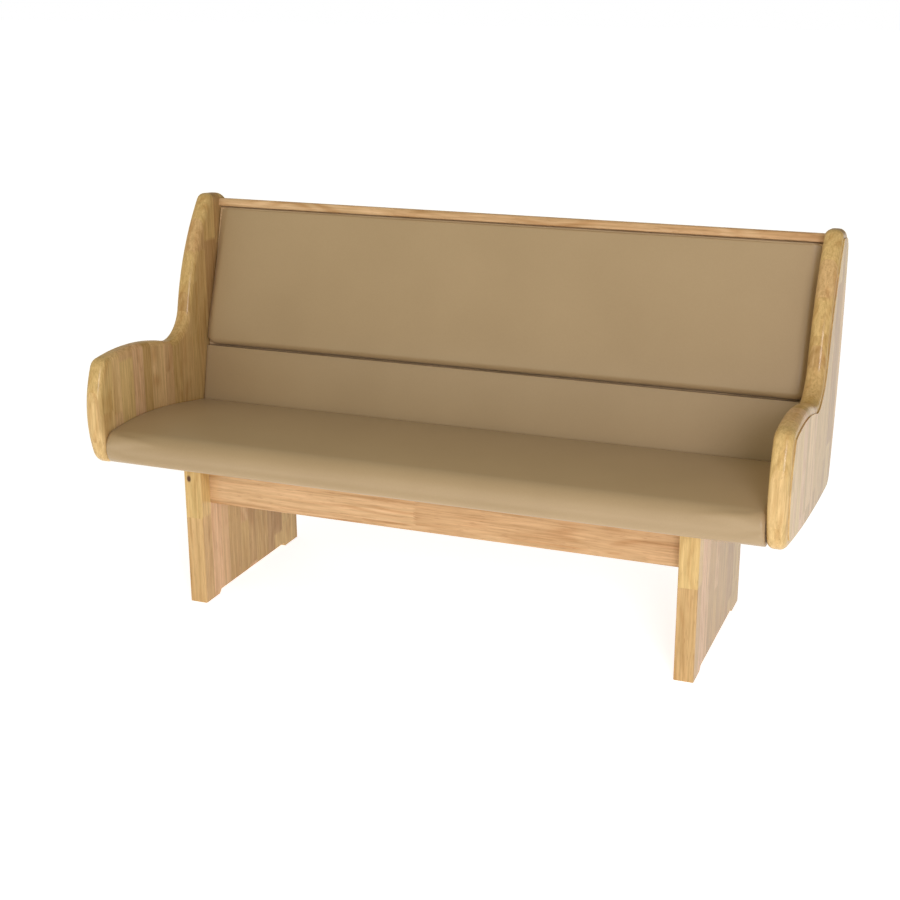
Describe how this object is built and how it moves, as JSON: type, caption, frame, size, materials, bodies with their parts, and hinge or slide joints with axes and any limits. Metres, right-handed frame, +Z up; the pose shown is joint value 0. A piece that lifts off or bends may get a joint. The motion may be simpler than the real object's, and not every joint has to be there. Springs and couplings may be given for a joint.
{
  "type": "church pew",
  "caption": "Upholstered church pew: wood end panels with arms, padded seat and reclined back, on two board pedestals joined by rails.",
  "frame": {"origin": "on the floor, at the middle of the pew's bounding box", "axes": "+X along the pew, -Y is the front that a sitter faces, +Z up"},
  "size_m": [1.5, 0.6101, 0.848],
  "materials": {
    "lacquered_panel": "satin",
    "lacquered_rail": "satin",
    "plywood": "satin",
    "beech": "matte",
    "vinyl": "satin",
    "foam": "matte",
    "screw_steel": "satin"
  },
  "bodies": {
    "root": {"left_end_panel": "lacquered_panel", "right_end_panel": "lacquered_panel", "left_pedestal": "lacquered_panel", "right_pedestal": "lacquered_panel", "front_apron_rail": "lacquered_rail", "rear_stretcher_rail": "lacquered_rail", "top_rail": "lacquered_rail", "lower_back_rail": "lacquered_rail", "back_board": "plywood", "seat_board": "plywood", "seat_foam": "foam", "seat_cover": "vinyl", "upper_back_board": "plywood", "upper_back_foam": "foam", "upper_back_cover": "vinyl", "lower_back_board": "plywood", "lower_back_foam": "foam", "lower_back_cover": "vinyl", "left_end_cleat": "beech", "right_end_cleat": "beech", "left_pedestal_cleat": "beech", "right_pedestal_cleat": "beech", "dowels": "beech", "panel_screws": "screw_steel", "seat_screws": "screw_steel", "back_board_screws": "screw_steel", "pad_screws": "screw_steel"}
  },
  "joints": []
}
